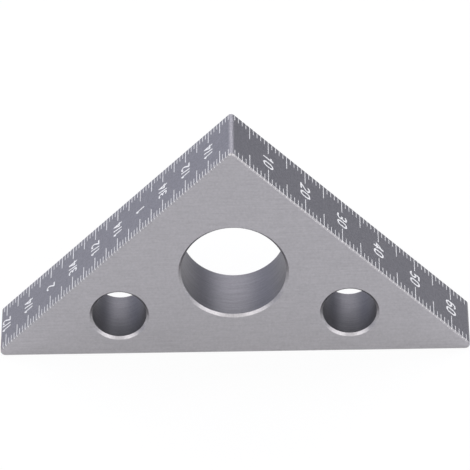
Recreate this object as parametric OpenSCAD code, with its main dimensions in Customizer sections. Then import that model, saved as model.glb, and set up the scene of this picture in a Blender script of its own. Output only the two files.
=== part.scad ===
// Rafter square: a solid block in the shape of a right-angled triangle, with a millimetre
// scale on one leg face, an inch scale on the other, three bores right through it and
// engraved marks filled with white paint. It stands on its long side. X runs along the
// long side, Y through the thickness with the front face at -Y, and Z up. The origin is
// the middle of the underside.

/* [Body] */
// Length of each leg, measured between the sharp corners before they are rounded
leg_length = 67; // [55:1:150]
// Thickness from the front face to the back face
thickness = 14; // [10:0.5:30]
// Chamfer along every edge of the front and back faces
edge_chamfer = 0.3; // [0.1:0.05:0.5]
// Radius that rounds the top corner
top_radius = 0.8; // [0.6:0.1:3]
// Radius that rounds the two corners at the ends
end_radius = 1; // [0.6:0.1:3]

/* [Bores] */
// Diameter of the large bore in the middle
centre_bore_d = 20.5; // [8:0.5:24]
// Height of the large bore's axis above the underside
centre_bore_height = 19.2; // [16:0.1:21]
// Diameter of the two small bores
side_bore_d = 10.6; // [4:0.1:14]
// Distance along the underside from a sharp corner to the axis of the small bore by it
side_bore_inset = 24.9; // [20:0.1:27]
// Height of the small bores' axes above the underside
side_bore_height = 9.3; // [8:0.1:11]
// Chamfer at both mouths of every bore
bore_chamfer = 0.5; // [0.1:0.1:1]

/* [Marks] */
// Width of every graduation line
line_width = 0.18; // [0.1:0.02:0.4]
// Length of the short lines, from the edge of the block inwards
short_line = 1.95; // [1:0.05:3]
// Depth of the engraving, and thickness of the paint that fills it
mark_depth = 0.15; // [0.05:0.05:0.3]
// How far a mark may run on to the round of a corner
mark_overrun = 0.35; // [0:0.05:0.4]

/* [Millimetre numbers] */
// Height of the millimetre numbers
metric_height = 2.7; // [1.8:0.1:3.5]
// Width of one digit of the millimetre numbers
metric_digit = 1.75; // [1.2:0.05:2]
// Stroke width of the millimetre numbers
metric_stroke = 0.42; // [0.2:0.02:0.5]
// Gap between the digits of a millimetre number
metric_gap = 0.43; // [0.1:0.01:0.6]
// Clear space between a two-digit millimetre number and the long lines at its ends
metric_clearance = 0.73; // [0.2:0.01:1]

/* [Inch numbers] */
// Height of the inch numbers
inch_height = 2.3; // [1.6:0.1:3]
// Width of one digit of the inch numbers
inch_digit = 1.35; // [1:0.05:1.7]
// Width of the slash in a fraction
inch_slash = 0.8; // [0.5:0.05:1.2]
// Stroke width of the inch numbers
inch_stroke = 0.35; // [0.2:0.01:0.4]
// Gap between a digit and the slash of a fraction
inch_gap = 0.17; // [0.1:0.01:0.4]
// Clear space between a fraction and the long lines at its ends
inch_clearance = 1.1; // [0.2:0.05:1.3]

/* [Hidden] */
$fn = 96;

// One inch, and the line spacing of the two scales
inch = 25.4;
metric_pitch = 1;
inch_pitch = inch / 32;

// How many lines it is to each long one, and how many long lines to each number
metric_long_count = 5;
inch_long_count = 4;
number_count = 2;

// Height of the sharp top corner, which is also half the length of the sharp long side
apex_height = leg_length / sqrt(2);

// The flat of a leg face, measured down the leg from the sharp top corner
flat_start = top_radius;
flat_end = leg_length - end_radius * (1 + sqrt(2));

// How far a cutter stands out of the face that it cuts
spill = 1;

// How far the round of a corner stands out, so that it crosses the flats beside it
round_ease = 0.001;

// Share of the chamfer's height at which the floor of a line's groove runs out of the block
run_out = 0.85;

// The lines are counted down the leg from the sharp top corner. These are the counts of
// those in a step of so many whose mark, of a given size down the leg, fits on the leg.
function counts_that_fit(pitch, step, size) = [
    for (i = [1 : floor(leg_length / (pitch * step))])
        let (k = round(i * step))
            if (k * pitch - size / 2 >= flat_start - mark_overrun
                && k * pitch + size / 2 <= flat_end + mark_overrun) k
];
function without(counts, others) = [
    for (k = counts) if (len([for (other = others) if (other == k) k]) == 0) k
];

metric_long = counts_that_fit(metric_pitch, metric_long_count, line_width);
metric_short = without(counts_that_fit(metric_pitch, 1, line_width), metric_long);
metric_numbers = counts_that_fit(metric_pitch, metric_long_count * number_count, metric_height);

inch_long = counts_that_fit(inch_pitch, inch_long_count, line_width);
inch_short = without(counts_that_fit(inch_pitch, 1, line_width), inch_long);
inch_numbers = counts_that_fit(inch_pitch, inch_long_count * number_count, inch_height);

// The long lines reach in from both edges until they are clear of the numbers
metric_long_line = (thickness - 2 * metric_digit - metric_gap) / 2 - metric_clearance;
inch_long_line = (thickness - 2 * inch_digit - inch_slash - 2 * inch_gap) / 2 - inch_clearance;

// What each number says: whole millimetres, whole inches, or the quarters past an inch
function metric_signs(k) = str(round(k * metric_pitch));
function quarters(k) = round(4 * k * inch_pitch / inch);
function inch_signs(k) =
    quarters(k) % 4 == 0 ? str(quarters(k) / 4)
    : quarters(k) % 2 == 0 ? "1/2"
    : str(quarters(k) % 4, "/4");

// The names of the numbers, in millimetres and in thousandths of an inch
function metric_name(k) = str("metric_number_", metric_signs(k));
function thousandths(k) = round(1000 * k * inch_pitch / inch);
function inch_name(k) =
    str("inch_number_", thousandths(k) < 1000 ? "0" : "", thousandths(k));

// Slab that ends in a chamfered edge along X at z = 0 and reaches far below it
module edge_slab() {
    half = thickness / 2;
    reach = 2 * leg_length;
    rotate([90, 0, 90])
        linear_extrude(2 * reach, center = true)
            polygon([
                [-half, -reach],
                [half, -reach],
                [half, -edge_chamfer],
                [half - edge_chamfer, 0],
                [edge_chamfer - half, 0],
                [-half, -edge_chamfer]
            ]);
}

// Chamfered disc that has the shape of a rounded corner, with a core that stands out of
// the front and back faces
module corner_disc(radius) {
    half = thickness / 2;
    disc_radius = radius + round_ease;
    core_radius = disc_radius - edge_chamfer;
    rotate([90, 0, 0])
        rotate_extrude()
            polygon([
                [0, -half - spill],
                [core_radius, -half - spill],
                [core_radius, -half],
                [disc_radius, edge_chamfer - half],
                [disc_radius, half - edge_chamfer],
                [core_radius, half],
                [core_radius, half + spill],
                [0, half + spill]
            ]);
}

// What rounding takes off a sharp corner that points up and has the given angle. The
// centre of the round is at the origin.
module corner_waste(angle, radius) {
    reach = radius / sin(angle / 2) + spill;
    side = [reach * cos(angle / 2), reach * sin(angle / 2)];
    difference() {
        rotate([90, 0, 0])
            linear_extrude(thickness + 2 * spill, center = true)
                polygon([
                    [0, 0],
                    side,
                    [side.x, side.y + reach],
                    [-side.x, side.y + reach],
                    [-side.x, side.y]
                ]);
        corner_disc(radius);
    }
}

// The triangle with its chamfers and rounds, before any bore or mark is cut
module blank() {
    top_angle = 90;
    end_angle = 45;
    end_centre = apex_height - end_radius * (1 + sqrt(2));
    difference() {
        intersection() {
            rotate([180, 0, 0])
                edge_slab();
            translate([apex_height / 2, 0, apex_height / 2])
                rotate([0, 45, 0])
                    edge_slab();
            translate([-apex_height / 2, 0, apex_height / 2])
                rotate([0, -45, 0])
                    edge_slab();
        }
        translate([0, 0, apex_height - top_radius * sqrt(2)])
            corner_waste(top_angle, top_radius);
        for (end = [-1, 1])
            translate([end * end_centre, 0, end_radius])
                rotate([0, end * (90 + end_angle / 2), 0])
                    corner_waste(end_angle, end_radius);
    }
}

// Cutter for a through bore along Y with a chamfer at both mouths
module bore(x, z, diameter) {
    half = thickness / 2;
    radius = diameter / 2;
    flare = bore_chamfer + spill;
    translate([x, 0, z])
        rotate([90, 0, 0])
            rotate_extrude()
                polygon([
                    [0, -half - spill],
                    [radius + flare, -half - spill],
                    [radius, bore_chamfer - half],
                    [radius, half - bore_chamfer],
                    [radius + flare, half + spill],
                    [0, half + spill]
                ]);
}

// Places on the leg faces: X runs down the leg from the sharp top corner, Y across it
// from one edge of the face, and Z out of it
module on_metric_face() {
    translate([0, -thickness / 2, apex_height])
        rotate([0, 45, 0])
            children();
}
module on_inch_face() {
    rotate([0, 0, 180])
        on_metric_face()
            children();
}
module at_edge(near) {
    translate([0, near ? 0 : thickness, 0])
        mirror([0, near ? 0 : 1, 0])
            children();
}

// Cutter for one graduation line. Its floor is level under the leg face, and then falls
// so that the line runs down most of the chamfer and out, short of the face beside it.
module line_cutter(length) {
    foot = run_out * edge_chamfer;
    rotate([90, 0, 90])
        linear_extrude(line_width, center = true)
            polygon([
                [-spill, spill],
                [length, spill],
                [length, -mark_depth],
                [edge_chamfer, -mark_depth],
                [0, -foot],
                [-spill, -foot]
            ]);
}

module line_cutters(counts, pitch, length) {
    for (k = counts)
        translate([k * pitch, 0, 0])
            line_cutter(length);
}

module metric_line_cutters(edge, counts, length) {
    on_metric_face()
        at_edge(edge == "front")
            line_cutters(counts, metric_pitch, length);
}

module inch_line_cutters(edge, counts, length) {
    on_inch_face()
        at_edge(edge == "back")
            line_cutters(counts, inch_pitch, length);
}

// Straight stroke between two points on its centre line
module bar(from, to, stroke) {
    run = to - from;
    if (norm(run) > 0)
        translate(from)
            rotate(atan2(run.y, run.x))
                translate([0, -stroke / 2])
                    square([norm(run), stroke]);
}

// Round stroke about a centre, anticlockwise from one angle to the other
module arc(centre, radius, from, to, stroke) {
    steps = ceil((to - from) / 60);
    reach = 2 * (radius + stroke);
    translate(centre)
        intersection() {
            difference() {
                circle(radius + stroke / 2);
                circle(radius - stroke / 2);
            }
            polygon(concat([[0, 0]], [
                for (i = [0 : steps])
                    let (a = from + (to - from) * i / steps)
                        reach * [cos(a), sin(a)]
            ]));
        }
}

// One digit, or the slash, in a box that is width by height. The centre lines of the
// strokes lie half a stroke inside the box.
module glyph(sign, width, height, stroke) {
    left = stroke / 2;
    right = width - stroke / 2;
    low = stroke / 2;
    high = height - stroke / 2;
    middle = height / 2;
    across = right - left;
    up = high - low;
    round_r = across / 2;
    bowl_r = up / 4;
    top_centre = [width / 2, high - round_r];
    foot_centre = [width / 2, low + round_r];
    if (sign == "0") {
        arc(top_centre, round_r, 0, 180, stroke);
        arc(foot_centre, round_r, 180, 360, stroke);
        bar([left, foot_centre.y], [left, top_centre.y], stroke);
        bar([right, foot_centre.y], [right, top_centre.y], stroke);
    }
    if (sign == "1") {
        stem = left + 0.62 * across;
        bar([stem, 0], [stem, height], stroke);
        bar([stem, high], [left + 0.12 * across, low + 0.76 * up], stroke);
    }
    if (sign == "2") {
        // The slanting stroke leaves the foot's left end and touches the round
        span = top_centre - [left, low];
        slope = atan2(span.y, span.x) - asin(round_r / norm(span));
        run = sqrt(norm(span) * norm(span) - round_r * round_r);
        arc(top_centre, round_r, slope - 90, 165, stroke);
        bar([left, low], [left, low] + run * [cos(slope), sin(slope)], stroke);
        bar([0, low], [width, low], stroke);
    }
    if (sign == "3") {
        for (centre_y = [high - bowl_r, low + bowl_r]) {
            upper = centre_y > middle;
            edge_y = upper ? high : low;
            arc([right - bowl_r, centre_y], bowl_r, -90, 90, stroke);
            arc([left + bowl_r, centre_y], bowl_r, upper ? 90 : 210, upper ? 150 : 270, stroke);
            bar([left + bowl_r, edge_y], [right - bowl_r, edge_y], stroke);
        }
        bar([right - bowl_r - 0.25 * across, middle], [right - bowl_r, middle], stroke);
    }
    if (sign == "4") {
        stem = left + 0.75 * across;
        cross = low + 0.28 * up;
        bar([stem, 0], [stem, height], stroke);
        bar([0, cross], [width, cross], stroke);
        bar([stem, high], [left, cross], stroke);
    }
    if (sign == "5") {
        turn = 140;
        stem = foot_centre.x + round_r * cos(turn);
        arc(foot_centre, round_r, -150, turn, stroke);
        bar([stem, foot_centre.y + round_r * sin(turn)], [stem, height], stroke);
        bar([stem, high], [width - stroke / 4, high], stroke);
    }
    if (sign == "6") {
        arc(foot_centre, round_r, 0, 360, stroke);
        arc(top_centre, round_r, 40, 180, stroke);
        bar([left, foot_centre.y], [left, top_centre.y], stroke);
    }
    if (sign == "7") {
        bar([0, high], [width, high], stroke);
        bar([right, high], [left + 0.3 * across, 0], stroke);
    }
    if (sign == "8") {
        arc([width / 2, high - bowl_r], bowl_r, 0, 360, stroke);
        arc([width / 2, low + bowl_r], bowl_r, 0, 360, stroke);
    }
    if (sign == "9") {
        translate([width, height])
            rotate(180)
                glyph("6", width, height, stroke);
    }
    if (sign == "/") {
        lean = stroke / sin(atan2(height, across));
        polygon([[0, 0], [lean, 0], [width, height], [width - lean, height]]);
    }
}

// Cutter for a number, centred across the face at a place down the leg, with the tops
// of its digits towards the end of the leg
function glyph_width(sign, digit, slash) = sign == "/" ? slash : digit;
function signs_width(signs, count, digit, slash, gap) =
    count == 0 ? 0
    : signs_width(signs, count - 1, digit, slash, gap)
        + glyph_width(signs[count - 1], digit, slash) + gap;
module number_cutter(place, signs, height, digit, slash, stroke, gap) {
    full_width = signs_width(signs, len(signs), digit, slash, gap) - gap;
    translate([place, thickness / 2, -mark_depth])
        rotate([0, 0, -90])
            linear_extrude(mark_depth + spill)
                translate([-full_width / 2, -height / 2])
                    for (i = [0 : len(signs) - 1])
                        translate([signs_width(signs, i, digit, slash, gap), 0])
                            glyph(signs[i], glyph_width(signs[i], digit, slash), height, stroke);
}

module metric_number_cutter(k) {
    on_metric_face()
        number_cutter(k * metric_pitch, metric_signs(k), metric_height, metric_digit,
            metric_digit, metric_stroke, metric_gap);
}

module inch_number_cutter(k) {
    on_inch_face()
        number_cutter(k * inch_pitch, inch_signs(k), inch_height, inch_digit,
            inch_slash, inch_stroke, inch_gap);
}

// Paint that fills a cutter's groove up to the surface of the block
module paint() {
    color([0.93, 0.93, 0.92])
        intersection() {
            blank();
            children();
        }
}

// The machined block, with its bores and the grooves of every mark
module block() {
    side_bore_x = apex_height - side_bore_inset;
    color([0.6, 0.6, 0.62])
        difference() {
            blank();
            bore(0, centre_bore_height, centre_bore_d);
            for (side = [-1, 1])
                bore(side * side_bore_x, side_bore_height, side_bore_d);
            for (edge = ["front", "back"]) {
                metric_line_cutters(edge, metric_short, short_line);
                metric_line_cutters(edge, metric_long, metric_long_line);
                inch_line_cutters(edge, inch_short, short_line);
                inch_line_cutters(edge, inch_long, inch_long_line);
            }
            for (k = metric_numbers)
                metric_number_cutter(k);
            for (k = inch_numbers)
                inch_number_cutter(k);
        }
}

module metric_short_lines(edge) {
    paint() metric_line_cutters(edge, metric_short, short_line);
}
module metric_long_lines(edge) {
    paint() metric_line_cutters(edge, metric_long, metric_long_line);
}
module inch_short_lines(edge) {
    paint() inch_line_cutters(edge, inch_short, short_line);
}
module inch_long_lines(edge) {
    paint() inch_line_cutters(edge, inch_long, inch_long_line);
}
module metric_number(k) {
    paint() metric_number_cutter(k);
}
module inch_number(k) {
    paint() inch_number_cutter(k);
}

block();
metric_short_lines("front");  // metric_short_lines_front
metric_short_lines("back");  // metric_short_lines_back
metric_long_lines("front");  // metric_long_lines_front
metric_long_lines("back");  // metric_long_lines_back
inch_short_lines("front");  // inch_short_lines_front
inch_short_lines("back");  // inch_short_lines_back
inch_long_lines("front");  // inch_long_lines_front
inch_long_lines("back");  // inch_long_lines_back
for (k = metric_numbers)
    metric_number(k);
for (k = inch_numbers)
    inch_number(k);
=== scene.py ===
"""Looks of the rafter square: a machined and anodised block with painted scales, on a
plain pale floor in soft studio light."""

import math

import bpy
from bpy.props import FloatProperty, FloatVectorProperty, PointerProperty
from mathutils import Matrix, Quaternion, Vector


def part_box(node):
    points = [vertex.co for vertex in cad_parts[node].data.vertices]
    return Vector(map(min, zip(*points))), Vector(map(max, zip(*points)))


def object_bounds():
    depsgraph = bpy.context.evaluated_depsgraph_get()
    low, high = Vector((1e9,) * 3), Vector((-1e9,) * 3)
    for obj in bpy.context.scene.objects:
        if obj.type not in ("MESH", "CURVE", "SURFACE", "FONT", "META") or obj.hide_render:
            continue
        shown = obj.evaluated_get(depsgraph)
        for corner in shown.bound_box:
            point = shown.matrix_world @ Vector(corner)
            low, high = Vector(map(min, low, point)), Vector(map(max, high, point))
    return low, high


bl_info = {
    "name": "Rafter square looks",
    "version": (1, 0, 0),
    "blender": (4, 5, 0),
    "location": "3D View > Sidebar > Rafter square",
    "description": "Finishes of the machined block and its painted scales, with a studio",
    "category": "Object",
}

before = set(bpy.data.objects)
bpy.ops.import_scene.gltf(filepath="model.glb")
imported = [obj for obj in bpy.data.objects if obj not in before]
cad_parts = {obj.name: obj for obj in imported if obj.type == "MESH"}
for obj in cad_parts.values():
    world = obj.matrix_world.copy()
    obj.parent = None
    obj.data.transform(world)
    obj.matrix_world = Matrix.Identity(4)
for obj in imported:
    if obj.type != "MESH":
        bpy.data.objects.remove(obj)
cad_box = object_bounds()

MM = 0.001
BLOCK = "block"
NUMBER_NODES = sorted(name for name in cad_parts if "_number_" in name)
LONG_LINE_NODES = sorted(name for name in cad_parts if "_long_lines_" in name)
SHORT_LINE_NODES = sorted(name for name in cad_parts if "_short_lines_" in name)

# The bores lie inside this smaller triangle, and the outer faces outside it. Its legs and
# its base are this far in from the block's own.
ZONE_INSET = 2.5 * MM

# The small bores lie further than this from the middle, and the large bore nearer.
SMALL_BORES_FROM = 15 * MM

# How far the surfaces face to the front or back, as their normals' Y from 0 to 1: the front
# and back faces face that way all but fully, the chamfers about 45 degrees of it, and the
# legs, the bores' walls and the other surfaces that run from front to back not at all.
FACE_FROM = 0.9
CHAMFER_FACING = 0.7
CHAMFER_SPREAD = 0.15
WALL_UP_TO = 0.3

# The round along the top corner faces further up than this, and the legs less.
TOP_FROM = 0.72

# Noise of the grain: its octaves above the first, and how strong each is beside the last
GRAIN_DETAIL = 2.0
GRAIN_ROUGHNESS = 0.6

# Refractive index of an air-drying enamel
ENAMEL_IOR = 1.5

# Roughness of uncoated paper
PAPER_ROUGHNESS = 0.9


def linear(code):
    """Linear red, green and blue of an sRGB hex code."""
    parts = [int(code[i : i + 2], 16) / 255 for i in (1, 3, 5)]
    return tuple(c / 12.92 if c <= 0.04045 else ((c + 0.055) / 1.055) ** 2.4 for c in parts)


def add_node(tree, kind, inputs=None, **settings):
    """Adds a node with its settings. Its inputs, by name or number, are set to a value or
    linked to a socket or to another node's first output."""
    node = tree.nodes.new(kind)
    for name, value in settings.items():
        setattr(node, name, value)
    for key, value in (inputs or {}).items():
        if isinstance(value, bpy.types.Node):
            value = value.outputs[0]
        if isinstance(value, bpy.types.NodeSocket):
            tree.links.new(value, node.inputs[key])
        else:
            node.inputs[key].default_value = value
    return node


def new_material(name):
    """An empty node material and its tree."""
    material = bpy.data.materials.new(name)
    material.use_nodes = True
    material.node_tree.nodes.clear()
    return material, material.node_tree


def grain(tree, place, sizes):
    """A pattern from 0 to 1 whose grains have the given sizes along X, Y and Z."""
    scaled = add_node(
        tree,
        "ShaderNodeMapping",
        {"Vector": place, "Scale": [1 / size for size in sizes]},
    )
    return add_node(
        tree,
        "ShaderNodeTexNoise",
        {
            "Vector": scaled,
            "Scale": 1.0,
            "Detail": GRAIN_DETAIL,
            "Roughness": GRAIN_ROUGHNESS,
        },
    )


def satin_anodised_aluminium(finish):
    """Aluminium bar, milled and bored, then etched and anodised grey. The etch leaves it
    satin: the flat faces keep a trace of the cutter's passes, the bores keep the rings of
    the boring tool, and the chamfers, cut last with a sharp tool, are the smoothest. The
    legs, the round along the top corner and the bores, the small ones most, carry painted
    shade in their colour."""
    material, tree = new_material("satin_anodised_aluminium")
    coordinates = add_node(tree, "ShaderNodeTexCoord").outputs
    place = coordinates["Object"]
    normal = add_node(tree, "ShaderNodeSeparateXYZ", {0: coordinates["Normal"]}).outputs
    axes = add_node(tree, "ShaderNodeSeparateXYZ", {0: place}).outputs

    # Masks for the front and back faces, for the chamfers, and for the bores' walls, the
    # legs and the other surfaces that run straight from the front to the back
    facing = add_node(tree, "ShaderNodeMath", {0: normal["Y"]}, operation="ABSOLUTE")
    on_face = add_node(
        tree, "ShaderNodeMath", {0: facing, 1: FACE_FROM}, operation="GREATER_THAN"
    )
    on_chamfer = add_node(
        tree,
        "ShaderNodeMath",
        {0: facing, 1: CHAMFER_FACING, 2: CHAMFER_SPREAD},
        operation="COMPARE",
    )
    on_wall = add_node(tree, "ShaderNodeMath", {0: facing, 1: WALL_UP_TO}, operation="LESS_THAN")

    # Masks for all the bores and for the small ones
    beside = add_node(tree, "ShaderNodeMath", {0: axes["X"]}, operation="ABSOLUTE")
    slope = add_node(tree, "ShaderNodeMath", {0: beside, 1: axes["Z"]}, operation="ADD")
    zone_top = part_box(BLOCK)[1].z - ZONE_INSET
    under_legs = add_node(tree, "ShaderNodeMath", {0: slope, 1: zone_top}, operation="LESS_THAN")
    above_base = add_node(
        tree, "ShaderNodeMath", {0: axes["Z"], 1: ZONE_INSET}, operation="GREATER_THAN"
    )
    inside = add_node(tree, "ShaderNodeMath", {0: under_legs, 1: above_base}, operation="MULTIPLY")
    in_bore = add_node(tree, "ShaderNodeMath", {0: inside, 1: on_wall}, operation="MULTIPLY")
    at_end = add_node(
        tree, "ShaderNodeMath", {0: beside, 1: SMALL_BORES_FROM}, operation="GREATER_THAN"
    )
    in_small_bore = add_node(tree, "ShaderNodeMath", {0: in_bore, 1: at_end}, operation="MULTIPLY")

    # Masks for the surfaces from front to back that aren't in a bore, and for the round
    # along the top corner among them
    outside = add_node(tree, "ShaderNodeMath", {0: on_wall, 1: in_bore}, operation="SUBTRACT")
    upward = add_node(
        tree, "ShaderNodeMath", {0: normal["Z"], 1: TOP_FROM}, operation="GREATER_THAN"
    )
    on_top = add_node(tree, "ShaderNodeMath", {0: outside, 1: upward}, operation="MULTIPLY")

    # Painted shade and roughness of each kind of surface: the surfaces from front to back
    #     # outside the bores, the round along the top corner and the bores, the small ones most,
    #     # are drawn darker to stand for the shade on them. Each mix keeps its input 2 outside the
    #     # mask and takes its input 3 inside it.
    shade = 1.0
    for mask, value in (
        (outside, finish.leg_painted_shade),
        (on_top, finish.top_painted_shade),
        (in_bore, finish.bore_painted_shade),
        (in_small_bore, finish.small_bore_painted_shade),
    ):
        shade = add_node(tree, "ShaderNodeMix", {0: mask, 2: shade, 3: value})
    rough = finish.roughness
    for mask, value in (
        (on_chamfer, finish.edge_roughness),
        (on_top, finish.top_roughness),
        (in_bore, finish.bore_roughness),
    ):
        rough = add_node(tree, "ShaderNodeMix", {0: mask, 2: rough, 3: value})

    # Streaks of the milling cutter's passes along the block, deeper rings of the boring tool
    # round each bore, and the grain of the etch all over. All three are drawn coarser than
    # they are, to show at a few pixels to the millimetre.
    passes = grain(tree, place, (finish.pass_length, finish.mark_width, finish.mark_width))
    rings = grain(tree, place, (finish.pass_length, finish.mark_width, finish.pass_length))
    rings = add_node(
        tree,
        "ShaderNodeMath",
        {0: rings, 1: finish.ring_depth, 2: (1 - finish.ring_depth) / 2},
        operation="MULTIPLY_ADD",
    )
    etch = grain(tree, place, (finish.etch_grain,) * 3)
    marks = etch
    for mask, value in ((on_face, passes), (in_bore, rings)):
        marks = add_node(tree, "ShaderNodeMix", {0: mask, 2: marks, 3: value})

    # Cloudy shade of the anodising, a little lighter and darker over several millimetres
    cloud = grain(tree, place, (finish.cloud_size,) * 3)
    patterns = (
        (marks, finish.mark_contrast),
        (etch, finish.grain_contrast),
        (cloud, finish.cloud_contrast),
    )
    tone = 1 - sum(contrast for _, contrast in patterns) / 2
    for pattern, contrast in patterns:
        tone = add_node(
            tree, "ShaderNodeMath", {0: pattern, 1: contrast, 2: tone}, operation="MULTIPLY_ADD"
        )
    # The painted shade times the tone of the tool marks, the etch's grain and the clouds
    shade = add_node(tree, "ShaderNodeMath", {0: shade, 1: tone}, operation="MULTIPLY")
    colour = add_node(
        tree,
        "ShaderNodeVectorMath",
        {0: (*finish.metal_colour,), "Scale": shade},
        operation="SCALE",
    )
    relief = add_node(
        tree,
        "ShaderNodeBump",
        {"Strength": finish.relief, "Distance": finish.relief_height, "Height": marks},
    )
    shader = add_node(
        tree,
        "ShaderNodeBsdfPrincipled",
        {"Base Color": colour, "Metallic": 1.0, "Roughness": rough, "Normal": relief},
    )
    add_node(tree, "ShaderNodeOutputMaterial", {0: shader})
    return material


def white_engraving_enamel(name, finish, cover):
    """Air-dried white enamel, wiped into the engraved marks. It dries matt, a little uneven
    and a little thin, so the white isn't perfect, least of all in the short lines, which
    hold the least of it. Cover is how fully it covers the metal, where 1 is all over."""
    material, tree = new_material(name)
    place = add_node(tree, "ShaderNodeTexCoord").outputs["Object"]
    patch = grain(tree, place, (finish.paint_grain,) * 3)
    shade = add_node(
        tree,
        "ShaderNodeMath",
        {
            0: patch,
            1: cover * finish.paint_contrast,
            2: cover * (1 - finish.paint_contrast / 2),
        },
        operation="MULTIPLY_ADD",
    )
    colour = add_node(
        tree,
        "ShaderNodeVectorMath",
        {0: (*finish.paint_colour,), "Scale": shade},
        operation="SCALE",
    )
    relief = add_node(
        tree,
        "ShaderNodeBump",
        {"Strength": finish.relief, "Distance": finish.relief_height, "Height": patch},
    )
    shader = add_node(
        tree,
        "ShaderNodeBsdfPrincipled",
        {
            "Base Color": colour,
            "Roughness": finish.paint_roughness,
            "IOR": ENAMEL_IOR,
            "Normal": relief,
        },
    )
    add_node(tree, "ShaderNodeOutputMaterial", {0: shader})
    return material


def matt_studio_paper(stage):
    """Matt white studio paper, without gloss. The camera sees it nearly pure white, with a
    faint shadow, and the metal mirrors it with a stronger one."""
    material, tree = new_material("matt_studio_paper")
    paper = add_node(
        tree,
        "ShaderNodeBsdfPrincipled",
        {
            "Base Color": (*stage.floor_colour, 1.0),
            "Roughness": PAPER_ROUGHNESS,
            "Specular IOR Level": 0.0,
        },
    )
    white = add_node(tree, "ShaderNodeEmission", {"Color": (1, 1, 1, 1), "Strength": 1.0})
    ray = add_node(tree, "ShaderNodeLightPath").outputs
    mirrored = add_node(
        tree,
        "ShaderNodeMath",
        {0: ray["Is Glossy Ray"], 1: ray["Is Transmission Ray"]},
        operation="MAXIMUM",
    )
    share = 0.0
    for kind, whiteness in (
        (ray["Is Camera Ray"], stage.floor_whiteness),
        (mirrored, stage.mirrored_whiteness),
    ):
        share = add_node(
            tree, "ShaderNodeMath", {0: kind, 1: whiteness, 2: share}, operation="MULTIPLY_ADD"
        )
    shader = add_node(tree, "ShaderNodeMixShader", {0: share, 1: paper, 2: white})
    add_node(tree, "ShaderNodeOutputMaterial", {0: shader})
    return material


def put_on(names, material):
    """Gives CAD nodes a material in every slot."""
    for name in names:
        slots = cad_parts[name].material_slots
        if not slots:
            raise RuntimeError(f"{name} has no material slot")
        for entry in slots:
            entry.material = material


class BlockFinish(bpy.types.PropertyGroup):
    """Colour, painted shade and surface of the anodised block."""

    metal_colour: FloatVectorProperty(
        name="Anodised colour",
        description="Colour that the anodised metal reflects",
        subtype="COLOR",
        default=linear("#AFADB0"),
        min=0,
        max=1,
    )
    roughness: FloatProperty(
        name="Roughness",
        description="Roughness of the etched flat faces",
        subtype="FACTOR",
        default=0.5,
        min=0,
        max=1,
    )
    bore_roughness: FloatProperty(
        name="Bore roughness",
        description="Roughness of the bores' walls",
        subtype="FACTOR",
        default=0.57,
        min=0,
        max=1,
    )
    # Painted shade: the large bore's wall is drawn darker than the faces, for the shade inside the
    # bore.
    bore_painted_shade: FloatProperty(
        name="Large bore shade",
        description="Shade of the anodising in the large bore, where 1 is that of the faces",
        subtype="FACTOR",
        default=0.585,
        min=0,
        max=1,
    )
    # Painted shade: the small bores' walls are drawn darker still, for the deeper shade inside
    # these narrower bores.
    small_bore_painted_shade: FloatProperty(
        name="Small bore shade",
        description="Shade of the anodising in the small bores, where 1 is that of the faces",
        subtype="FACTOR",
        default=0.49,
        min=0,
        max=1,
    )
    # Painted shade: the legs and the other surfaces from front to back outside the bores are drawn
    # darker than the front and back faces, for the darker surroundings that they mirror.
    leg_painted_shade: FloatProperty(
        name="Leg shade",
        description="Shade of the leg faces, where 1 is that of the front and back faces",
        subtype="FACTOR",
        default=0.68,
        min=0,
        max=1,
    )
    # Painted shade: the round along the top corner is drawn a little darker than the faces, to set
    # how much light it seems to catch.
    top_painted_shade: FloatProperty(
        name="Top shade",
        description="Shade of the round along the top corner, where 1 is that of the faces",
        subtype="FACTOR",
        default=0.86,
        min=0,
        max=1,
    )
    top_roughness: FloatProperty(
        name="Top roughness",
        description="Roughness of the round along the top corner",
        subtype="FACTOR",
        default=0.62,
        min=0,
        max=1,
    )
    edge_roughness: FloatProperty(
        name="Edge roughness",
        description="Roughness of the chamfers",
        subtype="FACTOR",
        default=0.32,
        min=0,
        max=1,
    )
    etch_grain: FloatProperty(
        name="Etch grain",
        description="Size of the grains that the etch leaves",
        unit="LENGTH",
        default=0.4 * MM,
        min=0.05 * MM,
        precision=5,
    )
    pass_length: FloatProperty(
        name="Pass length",
        description="Length of the streaks that the milling cutter leaves",
        unit="LENGTH",
        default=6 * MM,
        min=0.5 * MM,
        precision=5,
    )
    mark_width: FloatProperty(
        name="Mark width",
        description="Width of the cutter's streaks and of the boring tool's rings",
        unit="LENGTH",
        default=0.35 * MM,
        min=0.05 * MM,
        precision=5,
    )
    ring_depth: FloatProperty(
        name="Ring depth",
        description="Depth and contrast of the boring tool's rings, where 1 is the streaks'",
        default=1.8,
        min=0,
        max=4,
    )
    cloud_size: FloatProperty(
        name="Cloud size",
        description="Size of the lighter and darker clouds in the anodising",
        unit="LENGTH",
        default=9 * MM,
        min=1 * MM,
        precision=5,
    )
    mark_contrast: FloatProperty(
        name="Tool mark contrast",
        description="How much lighter and darker the tool marks are",
        subtype="FACTOR",
        default=0.25,
        min=0,
        max=1,
    )
    grain_contrast: FloatProperty(
        name="Grain contrast",
        description="How much lighter and darker the grains of the etch are",
        subtype="FACTOR",
        default=0.3,
        min=0,
        max=1,
    )
    cloud_contrast: FloatProperty(
        name="Cloud contrast",
        description="How much lighter and darker the clouds are",
        subtype="FACTOR",
        default=0.06,
        min=0,
        max=1,
    )
    relief: FloatProperty(
        name="Relief",
        description="Strength of the tool marks' relief",
        subtype="FACTOR",
        default=0.35,
        min=0,
        max=1,
    )
    relief_height: FloatProperty(
        name="Relief height",
        description="Height of the tool marks",
        unit="LENGTH",
        default=0.01 * MM,
        min=0,
        precision=6,
    )


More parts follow.
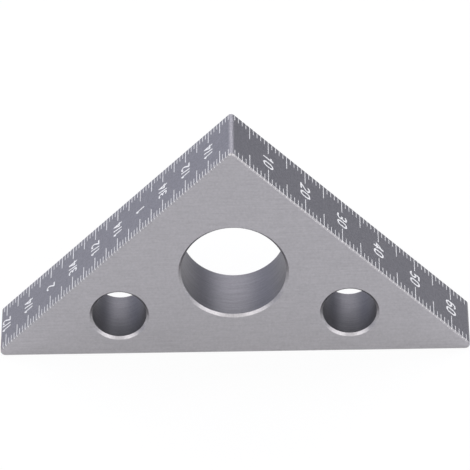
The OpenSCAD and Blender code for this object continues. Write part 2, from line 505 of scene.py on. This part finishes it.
class ScaleFinish(bpy.types.PropertyGroup):
    """Colour and surface of the paint in the scales."""

    paint_colour: FloatVectorProperty(
        name="Paint colour",
        description="Colour of the paint in the lines and numbers",
        subtype="COLOR",
        default=linear("#E9E9E7"),
        min=0,
        max=1,
    )
    short_line_cover: FloatProperty(
        name="Short line cover",
        description="How fully the paint covers the metal in the short lines",
        subtype="FACTOR",
        default=0.88,
        min=0,
        max=1,
    )
    paint_roughness: FloatProperty(
        name="Paint roughness",
        description="Roughness of the paint",
        subtype="FACTOR",
        default=0.6,
        min=0,
        max=1,
    )
    paint_grain: FloatProperty(
        name="Paint grain",
        description="Size of the thinner and thicker patches of paint",
        unit="LENGTH",
        default=0.4 * MM,
        min=0.05 * MM,
        precision=5,
    )
    paint_contrast: FloatProperty(
        name="Paint contrast",
        description="How much darker the thin patches are",
        subtype="FACTOR",
        default=0.12,
        min=0,
        max=1,
    )
    relief: FloatProperty(
        name="Relief",
        description="Strength of the paint's relief",
        subtype="FACTOR",
        default=0.3,
        min=0,
        max=1,
    )
    relief_height: FloatProperty(
        name="Relief height",
        description="Height of the paint's relief",
        unit="LENGTH",
        default=0.01 * MM,
        min=0,
        precision=6,
    )


class Studio(bpy.types.PropertyGroup):
    """Floor, lamps, world and camera."""

    floor_size: FloatProperty(
        name="Floor size",
        description="Width and depth of the floor",
        unit="LENGTH",
        default=8.0,
        min=0.5,
    )
    floor_colour: FloatVectorProperty(
        name="Floor colour",
        description="Colour of the paper floor",
        subtype="COLOR",
        default=linear("#FCFCFC"),
        min=0,
        max=1,
    )
    floor_whiteness: FloatProperty(
        name="Floor whiteness",
        description="How far the floor that the camera sees is drawn towards pure white",
        subtype="FACTOR",
        default=0.93,
        min=0,
        max=1,
    )
    mirrored_whiteness: FloatProperty(
        name="Mirrored whiteness",
        description="How far the floor that shows in the metal is drawn towards pure white",
        subtype="FACTOR",
        default=0.53,
        min=0,
        max=1,
    )
    world_colour: FloatVectorProperty(
        name="World colour",
        description="Colour of the studio's walls",
        subtype="COLOR",
        default=linear("#D4DCFF"),
        min=0,
        max=1,
    )
    world_strength: FloatProperty(
        name="World strength",
        description="Brightness of the studio's walls",
        default=0.24,
        min=0,
    )
    lens: FloatProperty(
        name="Lens",
        description="Focal length of the camera, for a sensor 36 mm wide",
        unit="CAMERA",
        default=469.96,
        min=10,
    )


# How far the lamps hang from the middle of the block, in metres
LAMP_DISTANCE = 2.5

# Soft round lamps: name, degrees round from the front to the right, degrees up, width in
# metres, power in watts and colour
LAMPS = (
    ("key_lamp", 0, 58, 2.6, 18.4, "#FFFCF5"),
    ("right_front_lamp", 48, 37, 1.6, 12.3, "#FFFDF9"),
    ("left_front_lamp", -46, 38, 1.6, 11.0, "#FFFDF9"),
    ("steep_back_lamp", 180, 68, 2.2, 35.8, "#FCFAFF"),
    ("back_left_lamp", -161, 34, 1.1, 6.2, "#F6F8FF"),
    ("back_right_lamp", 161, 34, 1.1, 7.2, "#F6F8FF"),
    ("right_lamp", 66, 16, 1.2, 3.9, "#FFFDF8"),
    ("left_lamp", -66, 16, 1.2, 2.5, "#FFFDF8"),
    ("left_back_lamp", -142, 12, 1.4, 5.0, "#E2E7FF"),
)

# The camera's place, the point that it looks at, its roll and the width of its sensor in
# millimetres
CAMERA_PLACE = Vector((8.94, -976.93, 709.33)) * MM
CAMERA_AIM = Vector((0.41, -7.0, 28.10)) * MM
CAMERA_ROLL = math.radians(-1.168)
SENSOR_WIDTH = 36.0


def look_at(place, aim, roll=0.0):
    """Turn of a lamp or camera that looks from a place at a point."""
    turn = (aim - place).to_track_quat("-Z", "Y")
    return (turn @ Quaternion((0, 0, 1), roll)).to_euler()


def lay_floor(stage):
    """A level sheet of paper that the block stands on."""
    bpy.ops.object.select_all(action="DESELECT")
    bpy.ops.mesh.primitive_plane_add(size=stage.floor_size, location=(0, 0, cad_box[0].z))
    bpy.ops.object.transform_apply()
    floor = bpy.context.object
    floor.name = "floor"
    floor.data.materials.append(matt_studio_paper(stage))


def hang_lamps():
    """Soft round lamps, all turned towards the middle of the block."""
    centre = (cad_box[0] + cad_box[1]) / 2
    for name, azimuth, elevation, width, power, colour in LAMPS:
        around, up = math.radians(azimuth), math.radians(elevation)
        direction = Vector(
            (
                math.sin(around) * math.cos(up),
                -math.cos(around) * math.cos(up),
                math.sin(up),
            )
        )
        place = centre + LAMP_DISTANCE * direction
        bpy.ops.object.light_add(type="AREA", location=place, rotation=look_at(place, centre))
        lamp = bpy.context.object
        lamp.name = name
        lamp.data.shape = "DISK"
        lamp.data.size = width
        lamp.data.energy = power
        lamp.data.color = linear(colour)


def light_walls(stage):
    """The faint even light of the studio's walls."""
    world = bpy.data.worlds.new("studio")
    world.use_nodes = True
    world.node_tree.nodes.clear()
    light = add_node(
        world.node_tree,
        "ShaderNodeBackground",
        {"Color": (*stage.world_colour, 1.0), "Strength": stage.world_strength},
    )
    add_node(world.node_tree, "ShaderNodeOutputWorld", {0: light})
    bpy.context.scene.world = world


def set_up_camera(stage):
    """A long lens that looks down on the front face."""
    bpy.ops.object.camera_add(
        location=CAMERA_PLACE, rotation=look_at(CAMERA_PLACE, CAMERA_AIM, CAMERA_ROLL)
    )
    camera = bpy.context.object
    camera.name = "camera"
    camera.data.sensor_width = SENSOR_WIDTH
    camera.data.lens = stage.lens
    bpy.context.scene.camera = camera


class RAFTER_OT_block(bpy.types.Operator):
    """Give the block its anodised metal"""

    bl_idname = "rafter.block"
    bl_label = "Block"

    def execute(self, context):
        put_on([BLOCK], satin_anodised_aluminium(context.scene.rafter_block))
        return {"FINISHED"}


class RAFTER_OT_scales(bpy.types.Operator):
    """Give the lines and numbers of both scales their paint"""

    bl_idname = "rafter.scales"
    bl_label = "Scales"

    def execute(self, context):
        finish = context.scene.rafter_scales
        enamel = white_engraving_enamel("white_engraving_enamel", finish, cover=1.0)
        thin_enamel = white_engraving_enamel(
            "thin_white_engraving_enamel", finish, cover=finish.short_line_cover
        )
        put_on(LONG_LINE_NODES + NUMBER_NODES, enamel)
        put_on(SHORT_LINE_NODES, thin_enamel)
        return {"FINISHED"}


class RAFTER_OT_stage(bpy.types.Operator):
    """Set up the floor, the lamps, the world and the camera"""

    bl_idname = "rafter.stage"
    bl_label = "Stage"

    def execute(self, context):
        stage = context.scene.rafter_stage
        lay_floor(stage)
        hang_lamps()
        light_walls(stage)
        set_up_camera(stage)
        context.scene.view_settings.view_transform = "Standard"
        return {"FINISHED"}


class RAFTER_PT_looks(bpy.types.Panel):
    """Looks of the rafter square"""

    bl_idname = "RAFTER_PT_looks"
    bl_label = "Rafter square"
    bl_space_type = "VIEW_3D"
    bl_region_type = "UI"
    bl_category = "Rafter square"

    def draw(self, context):
        for group, operator in GROUPS:
            box = self.layout.box()
            values = getattr(context.scene, group)
            for name in values.bl_rna.properties.keys():
                if name not in ("rna_type", "name"):
                    box.prop(values, name)
            box.operator(operator.bl_idname)


GROUPS = (
    ("rafter_block", RAFTER_OT_block),
    ("rafter_scales", RAFTER_OT_scales),
    ("rafter_stage", RAFTER_OT_stage),
)
CLASSES = (
    BlockFinish,
    ScaleFinish,
    Studio,
    RAFTER_OT_block,
    RAFTER_OT_scales,
    RAFTER_OT_stage,
    RAFTER_PT_looks,
)


def register():
    """Registers the classes and gives each scene its properties."""
    for cls in CLASSES:
        bpy.utils.register_class(cls)
    bpy.types.Scene.rafter_block = PointerProperty(type=BlockFinish)
    bpy.types.Scene.rafter_scales = PointerProperty(type=ScaleFinish)
    bpy.types.Scene.rafter_stage = PointerProperty(type=Studio)


def unregister():
    """Takes the scene's properties and the classes away again."""
    for group, _ in GROUPS:
        delattr(bpy.types.Scene, group)
    for cls in reversed(CLASSES):
        bpy.utils.unregister_class(cls)


def main():
    """Dresses the block and sets up the studio."""
    register()
    bpy.ops.rafter.block()
    bpy.ops.rafter.scales()
    bpy.ops.rafter.stage()


if __name__ == "__main__":
    main()
